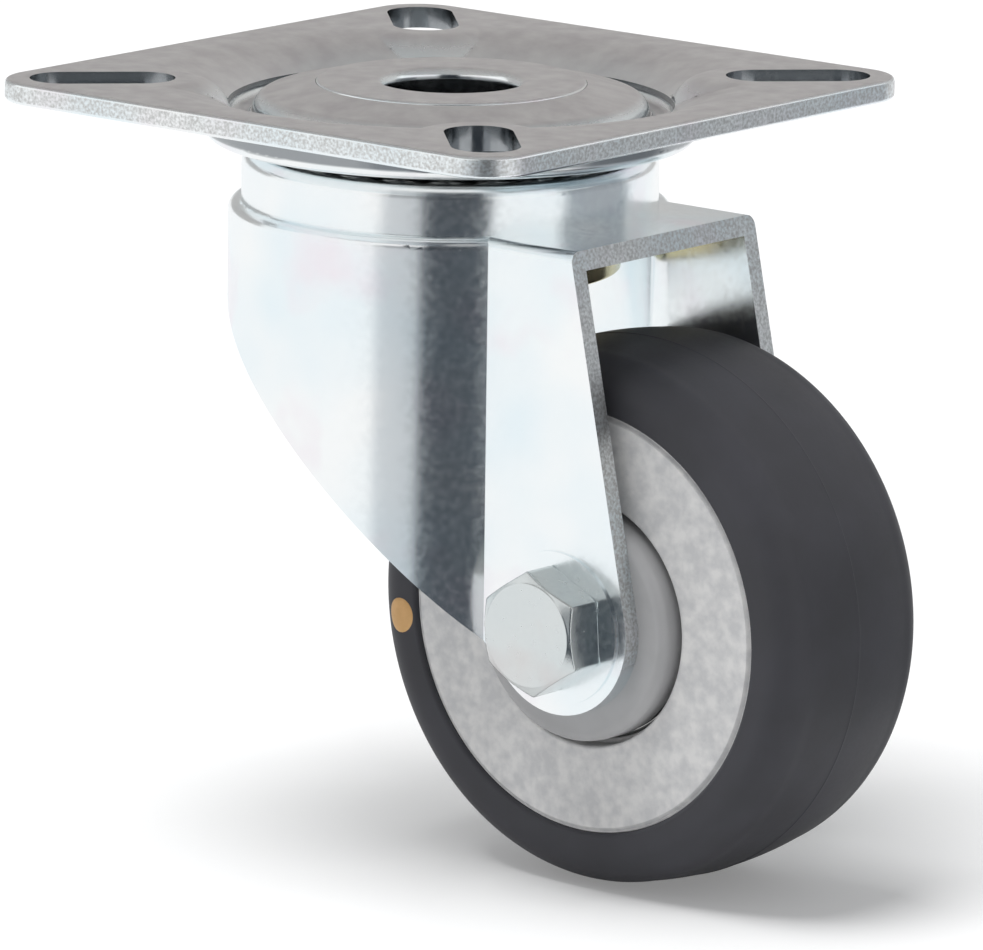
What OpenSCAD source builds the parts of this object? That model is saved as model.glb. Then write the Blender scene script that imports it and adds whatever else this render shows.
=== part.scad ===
// Swivel castor: pressed top plate, double ball race head, drawn fork and a rubber-tyred wheel.
// The origin is the middle of the plate's top face, on the swivel axis. Z points up,
// the fork trails towards +X, and the wheel's axle lies along Y.

/* [Top plate] */
// Side of the square plate
plate_side = 60.5; // [59:0.5:66]
// Thickness of the plate's sheet
plate_t = 2; // [1.8:0.1:2.2]
// Corner radius of the plate
plate_corner_r = 5; // [3:0.5:6]
// Rounding of the plate's sheared edges
plate_edge_r = 0.45; // [0.2:0.05:0.7]
// Screw spacing at the slots' inner ends, both ways
slot_inner_spacing = 40; // [39:0.5:43]
// Screw spacing at the slots' outer ends, both ways
slot_outer_spacing = 50; // [47:0.5:50.5]
// Width of a slot
slot_w = 6.2; // [5:0.1:6.6]
// Flat land left round a slot's inner end
slot_land = 1.6; // [1:0.1:2]
// Radius of the slope from that land down to the dish
land_slope_r = 4; // [3:0.5:5]

/* [Swivel head] */
// Radius at which the plate starts to roll down into its dish
dish_r = 27.3; // [26:0.1:28.5]
// Radius of that roll
dish_roll_r = 14; // [12:0.5:16]
// Outside radius of the drawn bowl under the plate
bowl_r = 22.6; // [22:0.1:23.4]
// Depth of the bowl below the plate's underside
bowl_depth = 3.6; // [3.2:0.1:4]
// Outside radius of the raised boss in the dish
boss_r = 18.2; // [17.8:0.1:18.6]
// How far the boss lies below the plate's top at the ball track
boss_drop = 0.9; // [0.7:0.1:1.1]
// Diameter of the swivel head's balls
ball_d = 4; // [3.6:0.1:4.2]
// Depth of the track that each ball runs in
track_depth = 0.2; // [0.1:0.05:0.3]
// Pitch radius of the lower balls
lower_pitch_r = 12.6; // [12.2:0.1:13]
// Radius of the kingpin's bore
pin_bore_r = 6.1; // [5.6:0.1:6.4]
// Wall of the kingpin's tube and head
pin_wall = 1.2; // [1:0.1:1.4]
// Radius of the kingpin's flat head
pin_head_r = 12.4; // [11.5:0.1:12.6]
// Outside radius of the lower race's skirt
lower_race_r = 15.7; // [15.2:0.1:16]
// Thickness of the lower race's sheet
lower_race_t = 2; // [1.6:0.1:2.2]
// Length of the lower race's skirt below its sheet
skirt_h = 3.4; // [2.6:0.1:3.6]

/* [Fork] */
// Thickness of the fork's sheet
fork_t = 1.8; // [1.6:0.1:2]
// Outside radius of the fork's round front wall
fork_r = 20.3; // [20:0.1:20.8]
// Outside radius of the raised cup on the crown
cup_r = 19.1; // [18.8:0.1:19.3]
// Height of the cup above the crown
cup_h = 4.65; // [4.3:0.05:5]
// Clear width between the legs
fork_inside_w = 22.6; // [21.4:0.1:23]
// Outside radius of the bend round the cup's top
cup_bend_r = 1.4; // [1:0.1:1.8]
// Radius of the hollow between the round wall and each leg
neck_r = 3; // [2:0.5:4]
// Outside radius of the bend round the crown's edge
crown_bend_r = 1.1; // [0.8:0.1:1.5]
// Distance from the swivel axis to the crown's trailing edge
crown_back = 25; // [24:0.1:26]
// Radius of the legs' round ends
leg_end_r = 8; // [7.4:0.1:8.4]
// Depth of the front wall's lower edge below the crown, on the swivel plane
front_h = 6; // [5:0.1:7.5]
// Radius of the hollow curve of the legs' leading edge
leading_edge_r = 190; // [150:10:400]
// Radius of the round pad pressed up round the axle hole
pad_r = 7; // [6.6:0.1:7.2]
// Height of that pad
pad_h = 0.25; // [0.1:0.05:0.4]
// Overall height of the castor
castor_h = 70.5; // [70:0.5:72]
// Trail: distance from the swivel axis to the axle
trail = 24; // [23:0.5:25]

/* [Wheel] */
// Diameter of the wheel
wheel_d = 50; // [48:0.5:51]
// Width of the tyre
tyre_w = 19.6; // [18.8:0.1:20]
// Radius of the tyre's shoulders
shoulder_r = 3.3; // [2.5:0.1:3.8]
// How much lower the tread is at the shoulders than in the middle
crown_drop = 0.6; // [0.3:0.05:0.9]
// Radius of the core's visible disc
disc_r = 19.4; // [18.8:0.1:19.8]
// Width of the core
core_w = 19.2; // [18.4:0.1:19.4]
// Height of the ridge that holds the tyre on the core
core_ridge = 1.2; // [0.8:0.1:1.5]
// Radius of the hub recess round a thread guard
recess_r = 11.45; // [11.3:0.05:11.8]
// Width of the bevelled rim of the disc
disc_rim = 0.5; // [0.3:0.1:1]

/* [Axle and bearings] */
// Diameter of the axle bolt
bolt_d = 5.94; // [5.8:0.02:6]
// Width across flats of the bolt head and the nut
hex_af = 10; // [9.6:0.1:10.4]
// Height of the bolt head
head_h = 4; // [3.6:0.1:4.4]
// How far a corner of the bolt head is turned from straight up, in degrees
head_turn = 4; // [0:1:29]
// How far a corner of the lock nut is turned from straight up, in degrees
nut_turn = 15; // [0:1:29]
// Height of the lock nut
nut_h = 6; // [5.5:0.1:6.4]
// Length of bolt that stands out of the nut
bolt_end = 4.2; // [2:0.1:6]
// Outside diameter of the axle sleeve
sleeve_d = 8; // [7.8:0.1:8.2]
// Outside diameter of a wheel bearing
bearing_d = 22; // [21.8:0.1:22.2]
// Width of a wheel bearing
bearing_w = 7; // [6.8:0.1:7.2]
// Diameter of a bearing ball
bearing_ball_d = 4; // [3.6:0.1:4.1]
// Balls in each wheel bearing
bearing_ball_count = 7; // [6:1:8]
// Length of the spacer between the bearings
spacer_l = 1; // [0.8:0.1:1.4]
// Outside radius of a thread guard
guard_r = 10.8; // [10.4:0.1:11]

/* [Hidden] */
$fn = 96;

// Clearances
fit = 0.02;          // pieces that are pressed, bonded or clamped together
ball_play = 0.03;    // between a ball and its track
turn_gap = 0.5;      // between the fork's hole and the collar that it turns round
over = 1;            // how far a cutting solid reaches past what it cuts
edge_r = 0.3;        // rounding of small turned and sheared edges
roll_start = 4;      // angle in degrees at which a drawn slope leaves the flat

// Heights in the swivel head, from the top down
boss_under = -(boss_drop + plate_t);
upper_ball_z = boss_under + track_depth - ball_play - ball_d / 2;
cup_top = upper_ball_z - ball_d / 2 - ball_play + track_depth;
cup_under = cup_top - fork_t;
lower_ball_z = cup_under + track_depth - ball_play - ball_d / 2;
lower_race_top = lower_ball_z - ball_d / 2 - ball_play + track_depth;
lower_race_under = lower_race_top - lower_race_t;
bowl_bottom = -(plate_t + bowl_depth);
crown_top = cup_top - cup_h;
crown_under = crown_top - fork_t;
axle_z = -(castor_h - wheel_d / 2);

// Radii in the swivel head, from the axis out
pin_r = pin_bore_r + pin_wall;
collar_r = pin_r + fit + 1.5;
fork_hole_r = collar_r + turn_gap;
boss_inside_r = boss_r - plate_t;
trough_r = bowl_r - plate_t - 0.2;
upper_pitch_r = boss_inside_r - ball_d / 2 - 0.15;
cup_inside_r = cup_r - fork_t;
pin_head_top = -0.3;
pin_head_under = pin_head_top - pin_wall;

// The fork's plan is a round wall that narrows into two parallel legs
leg_out = fork_inside_w / 2 + fork_t;
neck_x = sqrt(pow(fork_r + neck_r, 2) - pow(leg_out + neck_r, 2));
neck_y = leg_out + neck_r;
neck_angle = atan2(neck_y, neck_x);
fork_reach = trail + leg_end_r + 2 * over;
floor_z = axle_z - leg_end_r - over;

// Distances along the axle, from the wheel's middle out
leg_face = fork_inside_w / 2;
bearing_in = spacer_l / 2;
bearing_mid = bearing_in + bearing_w / 2;
bearing_out = bearing_in + bearing_w;
ball_pitch_r = (bearing_d + sleeve_d) / 4;
ring_gap_in = ball_pitch_r - 1.45;
ring_gap_out = ball_pitch_r + 1.45;
shield_seat_r = ring_gap_out + 0.5;
shield_t = 0.4;
shield_in = 0.35;
shield_gap = 0.3;
cage_t = 1.2;
ridge_w = 0.6 * core_w;

// Number of balls of diameter d that fit in a ring of pitch radius r with a little play
function ring_count(r, d) = floor(180 / asin((d + 0.15) / (2 * r)));

// Small building blocks

// What is cut from a square corner to round it: the corner is at the origin and the solid lies
// towards -X and -Y
module corner_waste(r) {
    difference() {
        translate([-r, -r]) square(r + over);
        translate([-r, -r]) circle(r);
    }
}

// The corner at the origin, filled with a hollow fillet: the empty side is towards +X and +Y
module fillet(r) {
    difference() {
        square(r);
        translate([r, r]) circle(r);
    }
}

// Revolves what is drawn with x as the radius and y along the axle, about the wheel's axle
module about_axle() {
    translate([trail, 0, axle_z]) rotate([-90, 0, 0]) rotate_extrude() children();
}

// Mirrors a left-hand piece, on the -Y side, to the right
module on_right() {
    mirror([0, 1, 0]) children();
}

// A plain ring with radii r1 and r2 between the heights y1 and y2
module ring_section(r1, r2, y1, y2) {
    translate([r1, y1]) square([r2 - r1, y2 - y1]);
}

// A ring of balls round Z
module ball_ring(pitch, d, count) {
    for (i = [0 : count - 1])
        rotate(i * 360 / count) translate([pitch, 0, 0]) sphere(d = d);
}

// The track that balls of diameter d run in
module ball_track(pitch, d) {
    rotate_extrude() translate([pitch, 0]) circle(d / 2 + ball_play);
}

// Top plate

// Section of the plate's sheet across a whole strip of width w, with rounded edges
module strip_section(w) {
    inner = w / 2 - plate_edge_r;
    translate([-inner, -plate_t]) square([2 * inner, plate_t]);
    translate([-w / 2, -plate_t + plate_edge_r]) square([w, plate_t - 2 * plate_edge_r]);
    for (x = [-inner, inner], y = [-plate_t + plate_edge_r, -plate_edge_r])
        translate([x, y]) circle(plate_edge_r);
}

// The flat plate: two strips that cross, and a round corner where they leave one out
module plate_blank() {
    inner = plate_side / 2 - plate_corner_r;
    for (turn = [0, 90]) rotate([90, 0, turn])
        linear_extrude(2 * inner, center = true) strip_section(plate_side);
    for (x = [-inner, inner], y = [-inner, inner]) translate([x, y, 0])
        rotate_extrude() intersection() {
            strip_section(2 * plate_corner_r);
            translate([0, -plate_side]) square(2 * plate_side);
        }
}

// A circle of radius r that passes through the point at an angle of roll_start from level
module roll_circle(point, r) {
    translate(point + r * [sin(roll_start), -cos(roll_start)]) circle(r, $fn = 180);
}

// The drawn sheet inside the dish: collar, boss, trough and the roll up to the plate's flat
module drawn_section() {
    edge_z = pin_head_top - 0.2;
    fall = 0.9;
    shoulder_bend_r = 1.8;
    hollow_bend_r = 0.8;
    bowl_bend_r = 1.2;
    difference() {
        union() {
            // Roll from the plate's flat down to the bowl
            difference() {
                intersection() {
                    roll_circle([dish_r, 0], dish_roll_r);
                    ring_section(trough_r, dish_r, bowl_bottom, 0);
                }
                intersection() {
                    roll_circle([dish_r, -plate_t], dish_roll_r - plate_t);
                    ring_section(bowl_r, dish_r, bowl_bottom - over, over);
                }
            }
            ring_section(dish_r, dish_r + plate_edge_r, -plate_t, 0);
            // Trough floor
            ring_section(boss_inside_r, trough_r + over, bowl_bottom, bowl_bottom + plate_t);
            translate([trough_r, bowl_bottom + plate_t]) mirror([1, 0]) fillet(hollow_bend_r);
            translate([boss_r, bowl_bottom + plate_t]) fillet(hollow_bend_r);
            // Boss, which falls away from the kingpin's head to its shoulder
            polygon([[pin_r + fit, bowl_bottom + plate_t], [pin_r + fit, edge_z],
                     [pin_head_r + edge_r, edge_z], [boss_r - shoulder_bend_r, edge_z - fall],
                     [boss_r, edge_z - fall], [boss_r, bowl_bottom], [boss_inside_r, bowl_bottom]]);
            // Collar that keeps the lower race at its distance
            ring_section(pin_r + fit, collar_r, lower_race_top, boss_under);
        }
        // Recess for the kingpin's head
        ring_section(0, pin_head_r + fit, pin_head_under, over);
        // Shoulder of the boss and lower edge of the bowl
        translate([boss_r, edge_z - fall]) corner_waste(shoulder_bend_r);
        translate([bowl_r, bowl_bottom]) mirror([0, 1]) corner_waste(bowl_bend_r);
        // Hollow under the boss, where the upper balls run
        ring_section(pin_head_r + 0.5, boss_inside_r, bowl_bottom - over, boss_under);
        ring_section(collar_r, pin_head_r + 0.6, bowl_bottom - over, pin_head_under - plate_t);
    }
}

// Flat land round the inner end of one slot, on the +X side, with a rolled slope down to the dish
module slot_land_solid() {
    inner_end = slot_inner_spacing / sqrt(2);
    reach = dish_r - inner_end + over;
    intersection() {
        translate([inner_end, 0, 0]) {
            rotate_extrude() land_section();
            for (side = [0, 1]) mirror([0, side, 0])
                rotate([90, 0, 90]) linear_extrude(reach) land_section();
        }
        rotate_extrude() {
            ring_section(trough_r + fit, bowl_r - edge_r, bowl_bottom + plate_t, 0);
            ring_section(bowl_r - 2 * edge_r, dish_r + edge_r, -0.6 * plate_t, 0);
        }
    }
}

// Section of a slot's land from its middle out
module land_section() {
    land_r = slot_w / 2 + slot_land;
    translate([0, -land_slope_r]) square([land_r, land_slope_r]);
    intersection() {
        mirror([1, 0]) roll_circle([-land_r, 0], land_slope_r);
        translate([land_r - fit, -land_slope_r]) square([land_slope_r, land_slope_r]);
    }
}

module slot_cut() {
    translate([0, 0, -plate_t - 2 * over]) linear_extrude(plate_t + 4 * over) union() {
        for (spacing = [slot_inner_spacing, slot_outer_spacing])
            translate([spacing / sqrt(2), 0]) circle(slot_w / 2);
        translate([slot_inner_spacing / sqrt(2), -slot_w / 2])
            square([(slot_outer_spacing - slot_inner_spacing) / sqrt(2), slot_w]);
    }
}

module top_plate() {
    color("silver") difference() {
        union() {
            difference() {
                plate_blank();
                translate([0, 0, -plate_t - over]) cylinder(h = plate_t + 2 * over, r = dish_r);
            }
            rotate_extrude() drawn_section();
            for (turn = [45 : 90 : 315]) rotate(turn) slot_land_solid();
        }
        for (turn = [45 : 90 : 315]) rotate(turn) slot_cut();
        translate([0, 0, upper_ball_z]) ball_track(upper_pitch_r, ball_d);
    }
}

// Kingpin and lower race

module kingpin() {
    rivet_r = collar_r + 1;
    rivet_h = 1.5;
    mouth_r = 1;
    color("gainsboro") rotate_extrude() difference() {
        union() {
            ring_section(pin_bore_r, pin_head_r, pin_head_under, pin_head_top);
            ring_section(pin_bore_r, pin_r, lower_race_under - rivet_h, pin_head_top);
            ring_section(pin_bore_r, rivet_r, lower_race_under - rivet_h, lower_race_under);
        }
        translate([pin_head_r, pin_head_top]) corner_waste(edge_r);
        translate([pin_bore_r, pin_head_top]) mirror([1, 0]) corner_waste(mouth_r);
        translate([rivet_r, lower_race_under - rivet_h]) mirror([0, 1]) corner_waste(mouth_r);
        translate([pin_bore_r, lower_race_under - rivet_h]) rotate(180) corner_waste(edge_r);
    }
}

module lower_race() {
    skirt_bottom = lower_race_under - skirt_h;
    bend_r = 1.5;
    color("khaki") difference() {
        rotate_extrude() difference() {
            ring_section(pin_r + fit, lower_race_r, skirt_bottom, lower_race_top);
            ring_section(0, lower_race_r - lower_race_t, skirt_bottom - over, lower_race_under);
            translate([lower_race_r, lower_race_top]) corner_waste(bend_r);
            translate([lower_race_r, skirt_bottom]) mirror([0, 1]) corner_waste(edge_r);
        }
        translate([0, 0, lower_ball_z]) ball_track(lower_pitch_r, ball_d);
    }
}

module upper_balls() {
    color("lightgray") translate([0, 0, upper_ball_z])
        ball_ring(upper_pitch_r, ball_d, ring_count(upper_pitch_r, ball_d));
}

module lower_balls() {
    color("lightgray") translate([0, 0, lower_ball_z])
        ball_ring(lower_pitch_r, ball_d, ring_count(lower_pitch_r, ball_d));
}

// Fork

// The outside of the fork below its crown, with the crown's edge bent over: a round block, a
// long one for the legs, and a hollow neck between them on each side
module outer_block() {
    neck_w = 3 * fork_t;
    rotate_extrude() difference() {
        ring_section(0, fork_r, floor_z, crown_top);
        translate([fork_r, crown_top]) corner_waste(crown_bend_r);
    }
    rotate([90, 0, 90]) linear_extrude(fork_reach) difference() {
        ring_section(-leg_out, leg_out, floor_z, crown_top);
        for (side = [0, 1]) mirror([side, 0]) translate([leg_out, crown_top]) corner_waste(crown_bend_r);
    }
    for (side = [0, 1]) mirror([0, side, 0])
        translate([neck_x, neck_y, 0]) rotate(180 + neck_angle)
            rotate_extrude(angle = 90 - neck_angle) difference() {
                ring_section(neck_r, neck_r + neck_w, floor_z, crown_top);
                translate([neck_r, crown_top]) mirror([1, 0]) corner_waste(crown_bend_r);
            }
}

// The space inside the fork below its crown
module inner_block() {
    r = fork_r - fork_t;
    translate([0, 0, floor_z - over]) linear_extrude(crown_under - floor_z + over) union() {
        circle(r);
        translate([0, -leg_face]) square([fork_reach + over, 2 * leg_face]);
        for (side = [0, 1]) mirror([0, side]) difference() {
            polygon([[0, 0], [r * cos(neck_angle), r * sin(neck_angle)], [neck_x, neck_y], [neck_x, 0]]);
            translate([neck_x, neck_y]) circle(neck_r + fork_t);
        }
    }
}

// Where two circles cross: centre of a circle that has its centre at distance a from p and b from q,
// on the side given by sign
function crossing(p, q, a, b, sign) =
    let (d = norm(q - p),
         u = (q - p) / d,
         along = (a * a - b * b + d * d) / (2 * d),
         off = sqrt(a * a - along * along))
    p + along * u + sign * off * [-u[1], u[0]];

// Where a straight line from p touches a circle with centre c and radius r, with c on its right
function touch(p, c, r) =
    let (d = norm(p - c),
         u = (p - c) / d,
         along = r * r / d,
         off = sqrt(r * r - along * along))
    c + along * u + off * [u[1], -u[0]];

// Side view of the fork, x along the trail and y up
module side_outline() {
    axle = [trail, axle_z];
    front = [-fork_r, crown_top - front_h];
    back = [crown_back, crown_top];
    lead = crossing(front, axle, leading_edge_r, leading_edge_r + leg_end_r, -1);
    lead_touch = axle + leg_end_r * (lead - axle) / norm(lead - axle);
    rear_touch = touch(back, axle, leg_end_r);
    rise = (back - rear_touch) / norm(back - rear_touch);
    difference() {
        union() {
            polygon([[-fork_r - over, crown_top + over], [-fork_r - over, front[1]], front, lead_touch,
                     axle, rear_touch, back + over * rise]);
            translate(axle) circle(leg_end_r);
        }
        translate(lead) circle(leading_edge_r, $fn = 720);
    }
}

// The cup on the crown, from the swivel axis out
module cup_section() {
    difference() {
        ring_section(0, cup_r, crown_under, cup_top);
        translate([cup_r, cup_top]) corner_waste(cup_bend_r);
    }
}

module fork() {
    color("lightsteelblue") difference() {
        union() {
            intersection() {
                difference() {
                    outer_block();
                    inner_block();
                }
                translate([0, fork_r + over, 0]) rotate([90, 0, 0])
                    linear_extrude(2 * (fork_r + over)) side_outline();
            }
            rotate_extrude() cup_section();
            for (side = [0, 1]) mirror([0, side, 0])
                translate([trail, -leg_out, axle_z]) rotate([90, 0, 0]) cylinder(h = pad_h, r = pad_r);
        }
        translate([0, 0, crown_under - over]) cylinder(h = cup_under - crown_under + over, r = cup_inside_r);
        translate([0, 0, cup_under - over]) cylinder(h = fork_t + 2 * over, r = fork_hole_r);
        translate([0, 0, upper_ball_z]) ball_track(upper_pitch_r, ball_d);
        translate([0, 0, lower_ball_z]) ball_track(lower_pitch_r, ball_d);
        translate([trail, leg_out + over, axle_z]) rotate([90, 0, 0])
            cylinder(h = 2 * (leg_out + over), r = bolt_d / 2 + 0.2);
    }
}

// Axle

// Hexagonal bar along -Y, flats af apart, with corner number 0 turned from straight up
module hex_bar(af, h, turn) {
    rotate([90, 0, 0]) linear_extrude(h) rotate(90 - turn) circle(af / 2 / cos(30), $fn = 6);
}

// What is left of a hexagon whose corners are turned off at its outer face, at 30 degrees
module hex_crown(af, h) {
    face_r = 0.95 * af / 2;
    rotate([90, 0, 0]) rotate_extrude()
        polygon([[0, -over], [af, -over], [af, h - (af - face_r) * tan(30)], [face_r, h], [0, h]]);
}

module axle_bolt() {
    seat = -(leg_out + pad_h);
    tip = leg_out + pad_h + nut_h + bolt_end;
    shank_r = bolt_d / 2;
    point = 0.6;
    color("gainsboro") translate([trail, 0, axle_z]) {
        translate([0, seat, 0]) intersection() {
            hex_bar(hex_af, head_h, head_turn);
            hex_crown(hex_af, head_h);
        }
        rotate([-90, 0, 0]) rotate_extrude()
            polygon([[0, seat], [shank_r, seat], [shank_r, tip - point], [shank_r - point, tip], [0, tip]]);
    }
}

module lock_nut() {
    seat = leg_out + pad_h;
    collar_h = 1.3;
    hex_h = nut_h - collar_h;
    collar_out = hex_af / 2 - 0.4;
    collar_bend_r = 0.8;
    color("gainsboro") translate([trail, seat, axle_z]) difference() {
        union() {
            intersection() {
                mirror([0, 1, 0]) hex_bar(hex_af, hex_h, nut_turn);
                mirror([0, 1, 0]) hex_crown(hex_af, hex_h);
            }
            rotate([-90, 0, 0]) rotate_extrude() difference() {
                ring_section(0, collar_out, 0, nut_h);
                translate([collar_out, nut_h]) corner_waste(collar_bend_r);
            }
        }
        translate([0, -over, 0]) rotate([-90, 0, 0]) cylinder(h = nut_h + 2 * over, r = bolt_d / 2 + fit);
        rotate([-90, 0, 0]) rotate_extrude() nut_insert_section(0);
    }
}

// Section of the locking ring inside the nut's collar, or of its seat where play is nothing
module nut_insert_section(play) {
    outer = hex_af / 2 - 1.2;
    lip = 0.4;
    insert_h = 1.3;
    ring_section(bolt_d / 2 + fit, outer - play, nut_h - lip - insert_h + play, nut_h - lip - play);
}

module nut_insert() {
    color("steelblue") translate([trail, leg_out + pad_h, axle_z]) rotate([-90, 0, 0])
        rotate_extrude() nut_insert_section(fit);
}

module axle_sleeve() {
    color("gainsboro") about_axle()
        ring_section(bolt_d / 2 + 0.1, sleeve_d / 2 - fit, -leg_face, leg_face);
}

module bearing_spacer() {
    color("gainsboro") about_axle()
        ring_section(sleeve_d / 2 + fit, ring_gap_in - 0.3, -spacer_l / 2, spacer_l / 2);
}

// Cap that keeps threads and dirt out of the bearing; it stands between the inner ring and the leg
module left_thread_guard() {
    inner = bearing_out + 0.4;
    rim_r = 0.9;
    color("dimgray") about_axle() difference() {
        union() {
            ring_section(sleeve_d / 2 + fit, ring_gap_in - 0.3, -leg_face, -bearing_out);
            ring_section(sleeve_d / 2 + fit, guard_r, -leg_face, -inner);
        }
        translate([guard_r, -leg_face]) mirror([0, 1]) corner_waste(rim_r);
        translate([guard_r, -inner]) corner_waste(edge_r);
    }
}

module right_thread_guard() {
    on_right() left_thread_guard();
}

// Wheel bearings, each drawn on the left of the wheel

module bearing_track() {
    translate([ball_pitch_r, -bearing_mid]) circle(bearing_ball_d / 2 + ball_play);
}

// Puts what is drawn for a face at y = 0, with the bearing towards -y, at both faces
module bearing_faces() {
    for (side = [0, 1])
        translate([0, -bearing_mid]) mirror([0, side]) translate([0, bearing_w / 2]) children();
}

module left_inner_ring() {
    color("gainsboro") about_axle() difference() {
        ring_section(sleeve_d / 2, ring_gap_in, -bearing_out, -bearing_in);
        bearing_track();
        bearing_faces() translate([ring_gap_in, 0]) corner_waste(edge_r);
    }
}

module left_outer_ring() {
    color("gainsboro") about_axle() difference() {
        ring_section(ring_gap_out, bearing_d / 2, -bearing_out, -bearing_in);
        bearing_track();
        bearing_faces() {
            translate([bearing_d / 2, 0]) corner_waste(edge_r);
            ring_section(ring_gap_out - over, shield_seat_r, -shield_in - shield_t, over);
        }
    }
}

module left_bearing_shields() {
    color("darkgray") about_axle() bearing_faces()
        ring_section(ring_gap_in + shield_gap, shield_seat_r - fit, -shield_in - shield_t, -shield_in);
}

module left_bearing_balls() {
    color("lightgray") translate([trail, -bearing_mid, axle_z]) rotate([-90, 0, 0])
        ball_ring(ball_pitch_r, bearing_ball_d, bearing_ball_count);
}

// Crown cage: a ring with one open pocket for each ball
module left_bearing_cage() {
    front = 1.1;
    back = bearing_w / 2 - shield_in - shield_t - 0.3;
    color("ivory") difference() {
        about_axle() ring_section(ball_pitch_r - cage_t / 2, ball_pitch_r + cage_t / 2,
                                  -bearing_mid - front, -bearing_mid + back);
        translate([trail, -bearing_mid, axle_z]) rotate([-90, 0, 0])
            ball_ring(ball_pitch_r, bearing_ball_d + 2 * ball_play, bearing_ball_count);
    }
}

module right_inner_ring() {
    on_right() left_inner_ring();
}

module right_outer_ring() {
    on_right() left_outer_ring();
}

module right_bearing_shields() {
    on_right() left_bearing_shields();
}

module right_bearing_balls() {
    on_right() left_bearing_balls();
}

module right_bearing_cage() {
    on_right() left_bearing_cage();
}

// Wheel

module wheel_core() {
    half = core_w / 2;
    rim_in_r = disc_r - disc_rim;
    rim_depth = 0.3;
    color("darkgray") about_axle() difference() {
        union() {
            ring_section(ring_gap_out + 0.2, disc_r, -half, half);
            ring_section(disc_r - over, disc_r + core_ridge, -ridge_w / 2, ridge_w / 2);
        }
        for (side = [0, 1]) mirror([0, side]) {
            ring_section(0, bearing_d / 2 + fit, bearing_in, half + over);
            ring_section(0, recess_r, bearing_out, half + over);
            translate([recess_r, half]) mirror([1, 0]) corner_waste(edge_r);
            // Bevelled rim of the disc
            polygon([[rim_in_r, half + fit], [rim_in_r + rim_depth, half - rim_depth],
                     [disc_r + over, half - rim_depth], [disc_r + over, half + fit]]);
        }
    }
}

module tyre() {
    half = tyre_w / 2;
    wheel_r = wheel_d / 2;
    flat = half - shoulder_r;
    tread_r = (pow(flat, 2) + pow(crown_drop, 2)) / (2 * crown_drop);
    lip_r = 0.4;
    color("dimgray") about_axle() difference() {
        intersection() {
            ring_section(disc_r + fit, wheel_r, -half, half);
            translate([wheel_r - tread_r, 0]) circle(tread_r, $fn = 360);
        }
        for (side = [0, 1]) mirror([0, side]) {
            translate([wheel_r - crown_drop, half]) corner_waste(shoulder_r);
            translate([disc_r + fit, half]) mirror([1, 0]) corner_waste(lip_r);
        }
        ring_section(disc_r, disc_r + core_ridge + fit, -ridge_w / 2 - fit, ridge_w / 2 + fit);
    }
}

top_plate();
kingpin();
lower_race();
upper_balls();
lower_balls();
fork();
axle_bolt();
lock_nut();
nut_insert();
axle_sleeve();
left_thread_guard();
right_thread_guard();
left_inner_ring();
right_inner_ring();
bearing_spacer();
left_bearing_balls();
left_bearing_cage();
right_bearing_balls();
right_bearing_cage();
tyre();
wheel_core();
left_outer_ring();
right_outer_ring();
left_bearing_shields();
right_bearing_shields();
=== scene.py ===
"""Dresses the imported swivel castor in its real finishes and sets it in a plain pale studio.

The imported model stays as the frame. Metal, plastic and rubber pieces that need a smoother
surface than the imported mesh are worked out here, in metres and in the model's own frame:
Z up along the swivel axis, the fork trailing towards +X and the axle along Y.
"""

import sys
import logging
import math
from collections.abc import Sequence
from dataclasses import dataclass, field
from enum import Enum
from typing import ClassVar

import bpy
import numpy as np
from mathutils import Matrix, Vector


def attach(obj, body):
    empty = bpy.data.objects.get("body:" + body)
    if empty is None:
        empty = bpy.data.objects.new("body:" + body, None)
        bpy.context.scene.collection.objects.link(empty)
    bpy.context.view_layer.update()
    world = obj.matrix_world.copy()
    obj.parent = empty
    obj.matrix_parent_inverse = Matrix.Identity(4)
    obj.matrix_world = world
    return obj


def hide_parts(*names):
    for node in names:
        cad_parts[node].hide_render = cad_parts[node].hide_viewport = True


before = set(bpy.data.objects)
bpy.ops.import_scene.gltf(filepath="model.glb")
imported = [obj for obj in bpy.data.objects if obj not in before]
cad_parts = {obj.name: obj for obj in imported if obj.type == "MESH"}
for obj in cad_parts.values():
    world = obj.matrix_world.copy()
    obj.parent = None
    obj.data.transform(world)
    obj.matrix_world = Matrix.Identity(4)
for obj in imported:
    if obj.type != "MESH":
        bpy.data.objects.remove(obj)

Object, Material = bpy.types.Object, bpy.types.Material
Tree, Node, Socket = bpy.types.NodeTree, bpy.types.Node, bpy.types.NodeSocket
Triple = tuple[float, float, float]

LOG = logging.getLogger("castor")
MM = 0.001

# Main sizes of the model, in millimetres, as its source has them
TRAIL = 24.0
AXLE_Z = -45.5
WHEEL_R = 25.0
LEG_OUT = 13.1
LEG_FACE = 11.3
FIT_GAP = 0.02
BALL_PLAY = 0.03

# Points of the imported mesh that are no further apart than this, in metres, are one point
WELD_STEP = 1e-8
BEVEL_ANGLE = math.radians(50)
FULL_WEIGHT = 100

# Height of the textures' relief, in millimetres, at a bump strength of 1
RELIEF_MM = 0.02


class Axis(Enum):
    """The two axes that the castor's round pieces turn about."""

    SWIVEL = "swivel"
    AXLE = "axle"


def srgb(code: str) -> tuple[float, float, float, float]:
    """Turns an sRGB hex colour into the linear colour that a socket takes.

    Args:
        code: A colour such as "#A0B1C2".

    Returns:
        Linear red, green, blue and an alpha of 1.
    """
    value = np.array([int(code[i:i + 2], 16) for i in (1, 3, 5)]) / 255
    linear = np.where(value <= 0.04045, value / 12.92, ((value + 0.055) / 1.055) ** 2.4)
    return (*map(float, linear), 1.0)


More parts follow.
